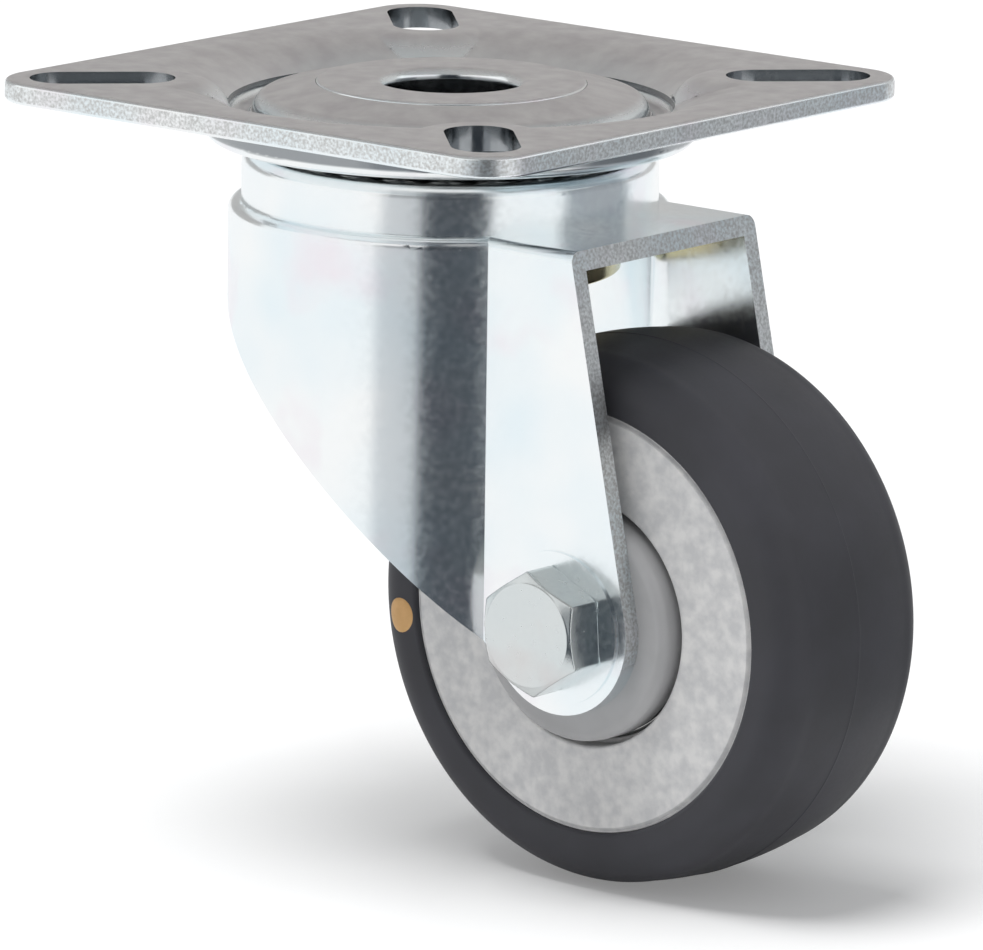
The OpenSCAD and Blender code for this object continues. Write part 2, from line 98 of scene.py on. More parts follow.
def add_node(tree: Tree, kind: str, links: dict | None = None, **settings) -> Node:
    """Adds one node with its settings, its sockets' values and its links.

    Args:
        tree: The node tree.
        kind: The node's type name.
        links: Input name or number to an output socket, or to a plain value.
        settings: Properties of the node itself.

    Returns:
        The new node.
    """
    node = tree.nodes.new(kind)
    for name, value in settings.items():
        setattr(node, name, value)
    for key, value in (links or {}).items():
        if isinstance(value, Socket):
            tree.links.new(value, node.inputs[key])
        else:
            node.inputs[key].default_value = value
    return node


# Surfaces


def put_mesh(name: str, points: np.ndarray, quads: np.ndarray, caps: Sequence[np.ndarray] = ()) -> Object:
    """Makes a smooth mesh object from whole arrays.

    Args:
        name: The piece's name.
        points: Vertices in metres, one row each.
        quads: Four vertex numbers a row.
        caps: Rings of vertex numbers, each closed by one flat face.

    Returns:
        The new object, at the origin.
    """
    mesh = bpy.data.meshes.new(name)
    sizes = np.r_[np.full(len(quads), 4), [len(ring) for ring in caps]].astype(np.int32)
    corners = np.concatenate([quads.ravel(), *caps]).astype(np.int32)
    mesh.vertices.add(len(points))
    mesh.vertices.foreach_set("co", np.ascontiguousarray(points, np.float32).ravel())
    mesh.loops.add(len(corners))
    mesh.loops.foreach_set("vertex_index", corners)
    mesh.polygons.add(len(sizes))
    mesh.polygons.foreach_set("loop_start", np.r_[0, np.cumsum(sizes)[:-1]].astype(np.int32))
    mesh.polygons.foreach_set("use_smooth", np.ones(len(sizes), bool))
    mesh.update(calc_edges=True)
    return put_object(name, mesh)


def put_object(name: str, content: bpy.types.ID) -> Object:
    """Puts a mesh, a lamp or a camera into the scene.

    Args:
        name: The object's name.
        content: The mesh, lamp or camera.

    Returns:
        The new object, at the origin.
    """
    piece = bpy.data.objects.new(name, content)
    bpy.context.scene.collection.objects.link(piece)
    return piece


def grid_quads(rows: int, columns: int, ring: bool) -> np.ndarray:
    """Faces of a grid whose columns close on themselves, and whose rows do too for a ring.

    Args:
        rows: Number of rows of points.
        columns: Number of points in a row.
        ring: Whether the last row joins the first.

    Returns:
        Four vertex numbers a row, turned so that they face away from a profile drawn clockwise.
    """
    i = np.arange(rows if ring else rows - 1)[:, None]
    j = np.arange(columns)[None, :]
    below, beside = (i + 1) % rows, (j + 1) % columns
    corners = [i * columns + j, i * columns + beside, below * columns + beside, below * columns + j]
    return np.stack([np.broadcast_to(c, (len(i), columns)) for c in corners], -1).reshape(-1, 4)


def end_caps(rows: int, columns: int) -> list[np.ndarray]:
    """The vertex numbers of a grid's first and last rows, each turned to face outwards.

    Args:
        rows: Number of rows of points.
        columns: Number of points in a row.

    Returns:
        The two rings.
    """
    rim = np.arange(columns)
    return [rim[::-1], (rows - 1) * columns + rim]


def rounded(corners: Sequence[Triple], closed: bool = True, steps: int = 6) -> np.ndarray:
    """Draws a profile with rounded corners and a support point beside each one.

    A corner of radius r is replaced by the arc that touches both its sides at r / tan(half the
    corner's angle) from it, and the points just outside the arc keep the flat sides flat.

    Args:
        corners: x, y and radius of each corner, in millimetres.
        closed: Whether the last corner joins the first.
        steps: Number of steps along each arc.

    Returns:
        The profile's points, one row each.
    """
    spots = np.array(corners, float)
    least, most = 0.02, 0.06
    out = []
    for k, (x, y, r) in enumerate(spots):
        here = np.array([x, y])
        if not closed and k in (0, len(spots) - 1):
            out.append(here[None])
            continue
        to_last = spots[k - 1, :2] - here
        to_next = spots[(k + 1) % len(spots), :2] - here
        a, b = to_last / np.linalg.norm(to_last), to_next / np.linalg.norm(to_next)
        half = math.acos(float(np.clip(a @ b, -1, 1))) / 2
        reach = r / math.tan(half)
        middle = here + (a + b) / np.linalg.norm(a + b) * r / math.sin(half)
        start, end = here + a * reach - middle, here + b * reach - middle
        turn = math.pi - 2 * half
        t = np.linspace(0, 1, steps + 1)[:, None]
        arc = (np.sin((1 - t) * turn) * start + np.sin(t * turn) * end) / math.sin(turn)
        support = min(most, 0.2 * reach + least)
        before, after = here + a * (reach + support), here + b * (reach + support)
        out += [before[None], middle + arc, after[None]]
    return np.concatenate(out)


def settle(name: str, points: np.ndarray, quads: np.ndarray, caps: Sequence[np.ndarray],
           axis: Axis, right: bool) -> Object:
    """Carries points drawn about Z to their axis, mirrors them if asked, and makes the mesh.

    Args:
        name: The piece's name.
        points: Points in millimetres, one row each.
        quads: Four vertex numbers a row.
        caps: Rings of vertex numbers, each closed by one flat face.
        axis: The axis that the points' own Z goes to.
        right: Whether to mirror the piece across the wheel's middle.

    Returns:
        The new object.
    """
    if axis is Axis.AXLE:
        points = np.stack([points[:, 0] + TRAIL, points[:, 2], AXLE_Z - points[:, 1]], -1)
    if right:
        points = points * [1, -1, 1]
        quads, caps = quads[:, ::-1], [ring[::-1] for ring in caps]
    return put_mesh(name, points * MM, quads, caps)


def place(name: str, grid: np.ndarray, axis: Axis, ring: bool, right: bool = False) -> Object:
    """Puts a grid of points, drawn about Z, on its axis and closes it.

    Args:
        name: The piece's name.
        grid: Points in millimetres, rows along the profile and columns round the axis.
        axis: The axis that the grid's own Z goes to.
        ring: Whether the profile is closed; if not, its two ends get flat caps.
        right: Whether to mirror it across the wheel's middle.

    Returns:
        The new object.
    """
    rows, columns = grid.shape[:2]
    caps = [] if ring else end_caps(rows, columns)
    return settle(name, grid.reshape(-1, 3), grid_quads(rows, columns, ring), caps, axis, right)


def revolve(name: str, profile: np.ndarray, axis: Axis, columns: int = 160, right: bool = False) -> Object:
    """Revolves a closed profile: a point (r, h) goes to (r cos t, r sin t, h) about the axis.

    Args:
        name: The piece's name.
        profile: Radius and height along the axis in millimetres, drawn clockwise.
        axis: The axis to turn about.
        columns: Number of steps round the axis.
        right: Whether to mirror the piece to the right-hand side of the wheel.

    Returns:
        The new object.
    """
    t = np.linspace(0, 2 * math.pi, columns, endpoint=False)[None, :]
    r, h = profile[:, :1], profile[:, 1:] + 0 * t
    return place(name, np.stack([r * np.cos(t), r * np.sin(t), h], -1), axis, ring=True, right=right)


def ball_ring(name: str, pitch: float, height: float, ball_r: float, count: int, axis: Axis,
              right: bool = False) -> Object:
    """Balls in a ring: each is a grid of latitude and longitude, turned by its own share of a circle.

    Args:
        name: The piece's name.
        pitch: Radius of the ring through the balls' middles, in millimetres.
        height: Height of that ring along the axis.
        ball_r: Radius of a ball.
        count: Number of balls.
        axis: The axis that they lie round.
        right: Whether to mirror the ring across the wheel's middle.

    Returns:
        One object with all the balls.
    """
    rows, columns, pole = 14, 24, 0.02
    lat = np.linspace(pole, math.pi - pole, rows)[:, None]
    lon = np.linspace(0, 2 * math.pi, columns, endpoint=False)[None, :]
    ball = np.stack([np.sin(lat) * np.cos(lon), np.sin(lat) * np.sin(lon), np.cos(lat) + 0 * lon], -1)
    x, y, z = (ball.reshape(-1, 3) * ball_r + [pitch, 0, height]).T
    turn = np.arange(count)[:, None] * 2 * math.pi / count
    turned = [x * np.cos(turn) - y * np.sin(turn), x * np.sin(turn) + y * np.cos(turn), z + 0 * turn]
    shift = (np.arange(count) * rows * columns)[:, None, None]
    quads = (grid_quads(rows, columns, False)[None] + shift).reshape(-1, 4)
    caps = [end + k for k in shift.ravel() for end in end_caps(rows, columns)]
    return settle(name, np.stack(turned, -1).reshape(-1, 3), quads, caps, axis, right)


def smooth_copy(node: str, name: str, crease: float, edge_mm: float) -> Object:
    """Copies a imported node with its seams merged, its faces shaded smooth and its edges broken.

    Args:
        node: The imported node.
        name: Name of the new piece.
        crease: Angle in degrees past which an edge stays sharp.
        edge_mm: Width of the small bevel on sheared edges.

    Returns:
        The new object.
    """
    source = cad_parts[node].data
    points = np.empty(len(source.vertices) * 3, np.float32)
    source.vertices.foreach_get("co", points)
    corners = np.empty(len(source.loops), np.int32)
    source.loops.foreach_get("vertex_index", corners)
    points = points.reshape(-1, 3)
    _, first, merged = np.unique(np.round(points / WELD_STEP).astype(np.int64), axis=0,
                                 return_index=True, return_inverse=True)
    faces = merged.ravel()[corners].reshape(-1, 3)
    whole = (faces != np.roll(faces, 1, axis=1)).all(axis=1)
    mesh = bpy.data.meshes.new(name)
    mesh.from_pydata(points[first], [], faces[whole])
    mesh.update()
    mesh.shade_smooth()
    mesh.set_sharp_from_angle(angle=math.radians(crease))
    piece = put_object(name, mesh)
    bevel = piece.modifiers.new("broken_edges", "BEVEL")
    bevel.limit_method, bevel.angle_limit = "ANGLE", BEVEL_ANGLE
    bevel.width, bevel.segments = edge_mm * MM, 2
    weighted = piece.modifiers.new("even_shading", "WEIGHTED_NORMAL")
    weighted.keep_sharp = True
    weighted.weight = FULL_WEIGHT
    return piece


def dress(piece: Object, body: str, slot: str, material: Material, *nodes: str) -> None:
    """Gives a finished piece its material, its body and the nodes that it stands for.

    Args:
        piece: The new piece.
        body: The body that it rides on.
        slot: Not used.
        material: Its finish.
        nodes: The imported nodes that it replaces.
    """
    piece.data.materials.clear()
    piece.data.materials.append(material)
    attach(piece, body)
    if nodes:
        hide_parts(*nodes)
    LOG.info("%s: %d faces on %s", piece.name, len(piece.data.polygons), body)


def paint(node: str, material: Material) -> None:
    """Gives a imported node, which keeps its own shape, its finish.

    Args:
        node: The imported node.
        material: Its finish.
    """
    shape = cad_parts[node].data
    shape.materials.clear()
    shape.materials.append(material)


# Finishes


@dataclass(frozen=True)
class Pattern:
    """A noise in patches grain_mm across, with finer layers for more detail.

    The noise levels low and high become 0 and 1, and stretch squeezes it along each axis.
    """

    grain_mm: float
    detail: float
    low: float = 0.0
    high: float = 1.0
    stretch: Triple = (1, 1, 1)


def spread(tree: Tree, value: Socket, low: float = 0.0, high: float = 1.0,
           ends: tuple[float, float] = (0.0, 1.0)) -> Socket:
    """Carries the range from low to high onto another one, and holds what lies outside at its ends.

    Args:
        tree: The node tree.
        value: The value.
        low: Level that becomes the first end.
        high: Level that becomes the second end.
        ends: The new range.

    Returns:
        The new value.
    """
    return add_node(tree, "ShaderNodeMapRange", {
        "Value": value, "From Min": low, "From Max": high, "To Min": ends[0], "To Max": ends[1]}).outputs[0]


def maths(tree: Tree, operation: str, *values: Socket | float) -> Socket:
    """Works out one sum of plain values.

    Args:
        tree: The node tree.
        operation: The Math node's operation.
        values: Its inputs, in order.

    Returns:
        The result.
    """
    return add_node(tree, "ShaderNodeMath", dict(enumerate(values)), operation=operation).outputs[0]


def vector_maths(tree: Tree, operation: str, *vectors: Socket | Triple) -> Socket:
    """Works out one sum of vectors.

    Args:
        tree: The node tree.
        operation: The Vector Math node's operation.
        vectors: Its inputs, in order.

    Returns:
        The resulting vector, or the plain value for a length.
    """
    node = add_node(tree, "ShaderNodeVectorMath", dict(enumerate(vectors)), operation=operation)
    return node.outputs["Value" if operation == "LENGTH" else "Vector"]


def cloud(tree: Tree, spot: Socket, pattern: Pattern) -> Socket:
    """Lays a noise pattern over the object.

    Args:
        tree: The node tree.
        spot: The coordinates.
        pattern: The pattern.

    Returns:
        A value from 0 to 1.
    """
    moved = add_node(tree, "ShaderNodeMapping", {"Vector": spot, "Scale": pattern.stretch}).outputs[0]
    noise = add_node(tree, "ShaderNodeTexNoise", {
        "Vector": moved, "Scale": 1 / (pattern.grain_mm * MM), "Detail": pattern.detail}).outputs[0]
    return spread(tree, noise, pattern.low, pattern.high)


def blend_colours(tree: Tree, share: Socket, first: Socket | str, second: Socket | str) -> Socket:
    """Mixes two colours, each a hex code or a socket, by a share.

    Args:
        tree: The node tree.
        share: How much of the second colour shows.
        first: The colour at 0.
        second: The colour at 1.

    Returns:
        The mixed colour.
    """
    ends = [srgb(end) if isinstance(end, str) else end for end in (first, second)]
    mix = add_node(tree, "ShaderNodeMix", {0: share, 6: ends[0], 7: ends[1]}, data_type="RGBA")
    return mix.outputs[2]


def blend_values(tree: Tree, share: Socket, first: Socket, second: float) -> Socket:
    """Mixes two plain values by a share.

    Args:
        tree: The node tree.
        share: How much of the second value counts.
        first: The value at 0.
        second: The value at 1.

    Returns:
        The mixed value.
    """
    return add_node(tree, "ShaderNodeMix", {0: share, 2: first, 3: second}).outputs[0]


class Finish:
    """A surface finish that knows how to build its material."""

    name: str
    bump: float = 0.0

    def start(self) -> tuple[Material, Tree, Node, Socket]:
        """Makes an empty material.

        Returns:
            The material, its tree, its shader and the object's own coordinates.
        """
        material = bpy.data.materials.new(self.name)
        material.use_nodes = True
        tree = material.node_tree
        tree.nodes.clear()
        shader = add_node(tree, "ShaderNodeBsdfPrincipled")
        add_node(tree, "ShaderNodeOutputMaterial", {"Surface": shader.outputs["BSDF"]})
        spot = add_node(tree, "ShaderNodeTexCoord").outputs["Object"]
        return material, tree, shader, spot

    def join(self, tree: Tree, shader: Node, colour: Socket, gloss: Socket, height: Socket | None) -> None:
        """Joins what a finish worked out to its shader.

        Args:
            tree: The node tree.
            shader: The shader.
            colour: The base colour.
            gloss: The roughness.
            height: The height of the fine texture, if there is one.
        """
        tree.links.new(colour, shader.inputs["Base Color"])
        tree.links.new(gloss, shader.inputs["Roughness"])
        if height is not None:
            relief = add_node(tree, "ShaderNodeBump", {
                "Height": height, "Strength": self.bump, "Distance": RELIEF_MM * MM})
            tree.links.new(relief.outputs[0], shader.inputs["Normal"])


@dataclass(frozen=True)
class Zinc(Finish):
    """Electroplated zinc with a blue passivation film: a bright metal with faint tints.

    The film's thickness wanders, which tints the metal from pale blue to pale pink; the sheet
    under it has fine draw lines and a slightly uneven gloss. Where the sheet was sheared, its
    faces look along cut_way, further than cut_from from the middle, and are torn and matt. The
    walls of its holes are nearer to the middle, and get a darker colour that is painted shade.
    Faces that look up are rougher and stained, and are painted darker as painted shade.
    """

    FILM: ClassVar[Pattern] = Pattern(14, 2, 0.35, 0.65)
    BLUSH: ClassVar[Pattern] = Pattern(9, 3, 0.55, 0.8)
    SPECKS: ClassVar[Pattern] = Pattern(0.7, 4, 0.3, 0.7)
    GRAIN: ClassVar[Pattern] = Pattern(0.25, 3)
    STAIN: ClassVar[Pattern] = Pattern(2.2, 5, 0.3, 0.7)
    TORN: ClassVar[Pattern] = Pattern(0.3, 3, 0.35, 0.65)
    FACES_UP: ClassVar[tuple[float, float]] = (0.6, 0.95)
    FACES_CUT: ClassVar[tuple[float, float]] = (0.93, 0.98)
    DULL_ROUGH: ClassVar[float] = 0.36
    TORN_ROUGH: ClassVar[float] = 0.4
    TORN_RISE: ClassVar[float] = 6.0

    name: str
    metal: str = "#F6F8F8"
    cool: str = "#E8F2F6"
    warm: str = "#EFE7ED"
    stained: str = "#D6D2D3"
    torn: str = "#C6C7C6"
    rough: tuple[float, float] = (0.15, 0.25)
    lines: Triple = (1, 1, 0.06)
    bump: float = 0.04
    shaded_dull_top: str | None = None
    cut_way: Triple | None = None
    cut_from: float = 0.0
    hole_wall_shade: str | None = None

    def build(self) -> Material:
        """Builds the material.

        Returns:
            The material.
        """
        material, tree, shader, spot = self.start()
        way = add_node(tree, "ShaderNodeTexCoord").outputs["Normal"]
        colour = blend_colours(tree, cloud(tree, spot, self.FILM), self.metal, self.cool)
        colour = blend_colours(tree, cloud(tree, spot, self.BLUSH), colour, self.warm)
        gloss = spread(tree, cloud(tree, spot, self.SPECKS), ends=self.rough)
        drawn = cloud(tree, spot, Pattern(0.35, 2, stretch=self.lines))
        height = maths(tree, "ADD", drawn, cloud(tree, spot, self.GRAIN))
        # Faces that look up: rougher and stained, with a darker colour that is painted shade
        if self.shaded_dull_top:
            up = add_node(tree, "ShaderNodeSeparateXYZ", {0: way}).outputs[2]
            level = spread(tree, up, *self.FACES_UP)
            shaded_dull = blend_colours(tree, cloud(tree, spot, self.STAIN), self.shaded_dull_top, self.stained)
            colour = blend_colours(tree, level, colour, shaded_dull)
            gloss = blend_values(tree, level, gloss, self.DULL_ROUGH)
        if self.cut_way:
            length = vector_maths(tree, "LENGTH", vector_maths(tree, "MULTIPLY", way, self.cut_way))
            cut = spread(tree, length, *self.FACES_CUT)
            off = vector_maths(tree, "ABSOLUTE", vector_maths(tree, "MULTIPLY", spot, self.cut_way))
            sides = add_node(tree, "ShaderNodeSeparateXYZ", {0: off}).outputs
            past = maths(tree, "GREATER_THAN", maths(tree, "MAXIMUM", sides[0], sides[1]), self.cut_from * MM)
            # Hole walls: a darker colour, which is painted shade
            if self.hole_wall_shade:
                colour = blend_colours(tree, blend_values(tree, past, cut, 0.0), colour, self.hole_wall_shade)
            cut = maths(tree, "MULTIPLY", cut, past)
            worn = maths(tree, "MULTIPLY", cloud(tree, spot, self.TORN), cut)
            colour = blend_colours(tree, worn, colour, self.torn)
            height = maths(tree, "ADD", height, maths(tree, "MULTIPLY", worn, self.TORN_RISE))
            gloss = blend_values(tree, cut, gloss, self.TORN_ROUGH)
        shader.inputs["Metallic"].default_value = 1.0
        self.join(tree, shader, colour, gloss, height)
        return material


@dataclass(frozen=True)
class Moulding(Finish):
    """Moulded plastic or rubber: a clouded base colour and a fine, even texture."""

    GLOSS_SPREAD: ClassVar[float] = 0.05

    name: str
    base: str
    cloud_colour: str
    cloud_mm: float
    rough: float
    grain_mm: float = 0.3
    bump: float = 0.15
    ior: float = 1.49

    def build(self) -> Material:
        """Builds the material.

        Returns:
            The material.
        """
        material, tree, shader, spot = self.start()
        patches = cloud(tree, spot, Pattern(self.cloud_mm, 5, 0.35, 0.65))
        grain = cloud(tree, spot, Pattern(self.grain_mm, 3))
        ends = (self.rough - self.GLOSS_SPREAD, self.rough + self.GLOSS_SPREAD)
        colour = blend_colours(tree, patches, self.base, self.cloud_colour)
        shader.inputs["IOR"].default_value = self.ior
        self.join(tree, shader, colour, spread(tree, grain, ends=ends), grain)
        return material


@dataclass(frozen=True)
class GroundSteel(Finish):
    """Hardened and ground steel: nearly a mirror, with a faint grinding haze."""

    HAZE: ClassVar[Pattern] = Pattern(0.5, 3, 0.3, 0.7)

    name: str
    metal: str = "#C4C4C2"
    hazy: str = "#B9B9BA"
    rough: tuple[float, float] = (0.1, 0.2)

    def build(self) -> Material:
        """Builds the material.

        Returns:
            The material.
        """
        material, tree, shader, spot = self.start()
        haze = cloud(tree, spot, self.HAZE)
        colour = blend_colours(tree, haze, self.metal, self.hazy)
        shader.inputs["Metallic"].default_value = 1.0
        self.join(tree, shader, colour, spread(tree, haze, ends=self.rough), None)
        return material


class Finishes:
    """All the materials of the castor, each made once."""

    def __init__(self) -> None:
        """Builds every finish."""
        # Pressed steel sheet, zinc plated: bright, with vertical draw lines and torn cut edges
        self.fork_zinc = Zinc("bright_zinc_on_drawn_steel", cut_way=(1, 0, 0), cut_from=21.5).build()
        # The same plating on the plate and kingpin, rougher where the metal faces up and painted darker there
        # as painted shade; its hole walls carry painted shade too
        self.plate_zinc = Zinc("bright_zinc_on_pressed_plate", shaded_dull_top="#E8E6E5", lines=(1, 1, 1),
                               cut_way=(1, 1, 0), cut_from=28.5, hole_wall_shade="#9A9EA1").build()
        # Plating over a forged bolt: a little duller
        self.bolt_zinc = Zinc("bright_zinc_on_forged_bolt", metal="#D9DCDB", cool="#D0D8DA", warm="#D2CCCB",
                              rough=(0.18, 0.28), lines=(1, 1, 1)).build()
        # Yellow passivated zinc on the lower race
        self.yellow_zinc = Zinc("yellow_zinc_on_pressed_race", metal="#D2C39B", cool="#C8C4A0",
                                warm="#D5B990", lines=(1, 1, 1)).build()
        # Hardened bearing steel on the balls, rings and shields
        self.steel = GroundSteel("ground_bearing_steel").build()
        # Thermoplastic rubber: dark grey, soft sheen
        self.rubber = Moulding("moulded_grey_rubber", "#49494E", "#454549", 6, 0.5,
                               grain_mm=0.4, bump=0.12, ior=1.28).build()
        # Polypropylene core with clouded flow marks
        self.core = Moulding("moulded_grey_polypropylene", "#EAE9E8", "#D2D2D3", 1.3, 0.5).build()
        # Thread guard: a darker moulding with a fine satin face
        self.guard = Moulding("satin_grey_thread_guard", "#B8B8B9", "#AFAFB0", 5, 0.42,
                              grain_mm=0.2, bump=0.06).build()
        # Matt ochre paint, dabbed on by hand
        self.dot_paint = Moulding("ochre_marker_paint", "#E3B377", "#D9A96B", 1.2, 0.5,
                                  grain_mm=0.2, bump=0.2).build()
        # Dyed nylon of the lock nut's ring, and natural nylon of the ball cages
        self.nylon_ring = Moulding("blue_nylon_lock_ring", "#2B4A86", "#27447C", 2, 0.4).build()
        self.nylon_cage = Moulding("natural_nylon_cage", "#D8CFB4", "#CFC6AB", 2, 0.45).build()


# Sub-assemblies


@dataclass
class SwivelHead:
    """Top plate, kingpin, lower race and the two rings of balls.

    Sizes are in millimetres, and heights are below the plate's top. Each ring of balls has the
    radius through their middles, its height and the number of balls.
    """

    finishes: Finishes
    pin_bore_r: float = 6.1
    pin_r: float = 7.3
    pin_head_r: float = 12.4
    head_top: float = -0.3
    head_under: float = -1.5
    rivet_r: float = 9.82
    rivet_h: float = 1.5
    race_top: float = -12.02
    race_under: float = -14.02
    race_r: float = 15.7
    race_sheet: float = 2.0
    skirt_h: float = 3.4
    ball_r: float = 2.0
    upper: tuple[float, float, int] = (14.05, -4.73, 21)
    lower: tuple[float, float, int] = (12.6, -10.19, 18)

    def build(self) -> None:
        """Builds and dresses every piece."""
        self.plate()
        self.kingpin()
        self.lower_race()
        for side, (pitch, height, count) in (("upper", self.upper), ("lower", self.lower)):
            balls = ball_ring(f"{side}_balls_ground", pitch, height, self.ball_r, count, Axis.SWIVEL)
            dress(balls, f"{side}_ball_ring", "ball_steel", self.finishes.steel, f"{side}_balls")

    def plate(self) -> None:
        """Smooths the plate's pressed surface."""
        piece = smooth_copy("top_plate", "pressed_top_plate", crease=35, edge_mm=0.12)
        dress(piece, "plate", "zinc_plate", self.finishes.plate_zinc, "top_plate")

    def kingpin(self) -> None:
        """Revolves the hollow kingpin with its flat head and riveted end."""
        foot = self.race_under - self.rivet_h
        profile = rounded([
            (self.pin_bore_r, self.head_top, 1.0), (self.pin_head_r, self.head_top, 0.3),
            (self.pin_head_r, self.head_under, 0.1), (self.pin_r, self.head_under, 0.1),
            (self.pin_r, self.race_under, 0.1), (self.rivet_r, self.race_under, 0.1),
            (self.rivet_r, foot, 0.9), (self.pin_bore_r, foot, 0.3)])
        dress(revolve("riveted_kingpin", profile, Axis.SWIVEL), "plate", "zinc_plate",
              self.finishes.plate_zinc, "kingpin")

    def lower_race(self) -> None:
        """Revolves the lower race: a pressed cap with a track round its top."""
        inner, bore = self.race_r - self.race_sheet, self.pin_r + FIT_GAP
        foot = self.race_under - self.skirt_h
        pitch, centre = self.lower[0], self.lower[1]
        ball = self.ball_r + BALL_PLAY
        edge = math.sqrt(ball ** 2 - (centre - self.race_top) ** 2)
        sweep = np.linspace(-1, 1, 9)[:, None] * math.asin(edge / ball)
        track = np.hstack([pitch + ball * np.sin(sweep), centre - ball * np.cos(sweep)])
        outside = rounded([
            (pitch + edge, self.race_top, 0), (self.race_r, self.race_top, 1.5), (self.race_r, foot, 0.3),
            (inner, foot, 0.2), (inner, self.race_under, 0.3), (bore, self.race_under, 0.1),
            (bore, self.race_top, 0.1), (pitch - edge, self.race_top, 0)], closed=False)
        dress(revolve("pressed_lower_race", np.vstack([track[:-1], outside[:-1]]), Axis.SWIVEL), "plate",
              "yellow_zinc", self.finishes.yellow_zinc, "lower_race")


@dataclass
class AxleSet:
    """Hexagon bolt with its rolled thread, lock nut and locking ring.

    Sizes are in millimetres and turns in degrees. The pad is the flat seat on each leg, and end
    is how far the bolt's tip stands out of the nut.
    """

    finishes: Finishes
    bolt_r: float = 2.97
    flats: float = 10.0
    head_h: float = 4.0
    head_turn: float = 4.0
    nut_turn: float = 15.0
    nut_h: float = 6.0
    end: float = 4.2
    pad: float = 0.25
    pitch: float = 1.0
    thread_depth: float = 0.42
    thread_steps: int = 14
    collar_h: float = 1.3
    ring_h: float = 1.3
    lip_r: float = 0.8
    lip_in: float = 0.4
    columns: int = 144
    angle: np.ndarray = field(init=False)

    def __post_init__(self) -> None:
        """Works out the angles that every ring of points uses."""
        self.angle = np.linspace(0, 2 * math.pi, self.columns, endpoint=False)

    @property
    def corner_r(self) -> float:
        """Distance from the axis to the hexagon's corners."""
        return self.flats / 2 / math.cos(math.pi / 6)

    @property
    def face_r(self) -> float:
        """Radius of the flat face that a 30 degree chamfer leaves on the hexagon."""
        return 0.95 * self.flats / 2

    def build(self) -> None:
        """Builds and dresses every piece."""
        dress(self.bolt(), "fork", "zinc_bolt", self.finishes.bolt_zinc, "axle_bolt")
        dress(self.nut(), "fork", "zinc_bolt", self.finishes.bolt_zinc, "lock_nut")
        paint("nut_insert", self.finishes.nylon_ring)
        paint("axle_sleeve", self.finishes.bolt_zinc)

    def hexagon(self, turn: float) -> np.ndarray:
        """Distance from the axis to a hexagon's flats: half the flats over cos(angle to the flat).

        Args:
            turn: How far corner number 0 is turned from straight up, in degrees.

        Returns:
            One distance for each angle, in millimetres.
        """
        from_corner = np.degrees(self.angle) + 90 + turn
        to_flat = np.radians(np.mod(from_corner, 60) - 30)
        return self.flats / 2 / np.cos(to_flat)

    def surface(self, name: str, rows: np.ndarray, hexed: np.ndarray, turn: float, ring: bool,
                groove: np.ndarray | float = 0.0) -> Object:
        """Carries rows of points along the axle, each a circle or a hexagon cut by a circle.

        Args:
            name: The piece's name.
            rows: Radius and place along the axle of each row, in millimetres.
            hexed: Which rows the hexagon cuts.
            turn: How far the hexagon is turned.
            ring: Whether the rows close on themselves.
            groove: How far each point is sunk towards the axis.

        Returns:
            The new object.
        """
        circle = rows[:, :1] + 0 * self.angle
        reach = np.where(hexed[:, None], np.minimum(circle, self.hexagon(turn)), circle) - groove
        grid = [reach * np.cos(self.angle), reach * np.sin(self.angle), rows[:, 1:] + 0 * reach]
        return place(name, np.stack(grid, -1), Axis.AXLE, ring)

    def bolt(self) -> Object:
        """The whole bolt: a crowned hexagon, a plain shank and a helical thread.

        The head's rows are cones of 30 degrees cut by the hexagon. The thread's radius falls and
        rises evenly with the distance along the axle less the turn about it, once each pitch.

        Returns:
            The bolt.
        """
        seat = -(LEG_OUT + self.pad)
        tip = LEG_OUT + self.pad + self.nut_h + self.end
        face, face_r, corner = seat - self.head_h, self.face_r, self.corner_r
        cone_r = np.linspace(face_r, corner + 0.05, 12)
        head = np.vstack([
            [[0.4, face], [2.2, face], [face_r - 0.12, face], [face_r - 0.04, face + 0.01]],
            np.stack([cone_r, face + 0.05 + (cone_r - face_r) * math.tan(math.pi / 6)], -1),
            [[corner + 0.1, face + 1.2], [corner + 0.1, seat - 0.9], [corner + 0.1, seat - 0.35],
             [corner + 0.02, seat - 0.2], [corner - 0.12, seat - 0.06], [corner - 0.3, seat],
             [self.flats / 2 - 0.2, seat], [self.bolt_r + 0.3, seat], [self.bolt_r + 0.06, seat + 0.02]]])
        along = np.arange(LEG_OUT + self.pad, tip - 0.6, self.pitch / self.thread_steps)
        plain = np.array([[self.bolt_r, seat + 0.1], [self.bolt_r, 0], [self.bolt_r, along[0] - 0.1]])
        thread = np.stack([np.full_like(along, self.bolt_r), along], -1)
        point = np.array([[self.bolt_r - 0.3, tip - 0.4], [self.bolt_r - 0.62, tip - 0.06],
                          [self.bolt_r - 0.72, tip], [self.bolt_r - 1.2, tip], [0.4, tip]])
        rows = np.vstack([head, plain, thread, point])
        hexed = np.arange(len(rows)) < len(head) - 2
        place_at = rows[:, 1:]
        wave = np.abs(2 * np.mod(place_at / self.pitch - self.angle / (2 * math.pi), 1) - 1)
        fade = np.clip((place_at - along[0]) / 0.5, 0, 1) * (place_at < tip - 0.5)
        groove = self.thread_depth * fade * np.clip(1.15 * wave - 0.1, 0, 1)
        groove = np.where(hexed[:, None], 0, groove)
        return self.surface("hexagon_axle_bolt", rows, hexed, self.head_turn, False, groove)

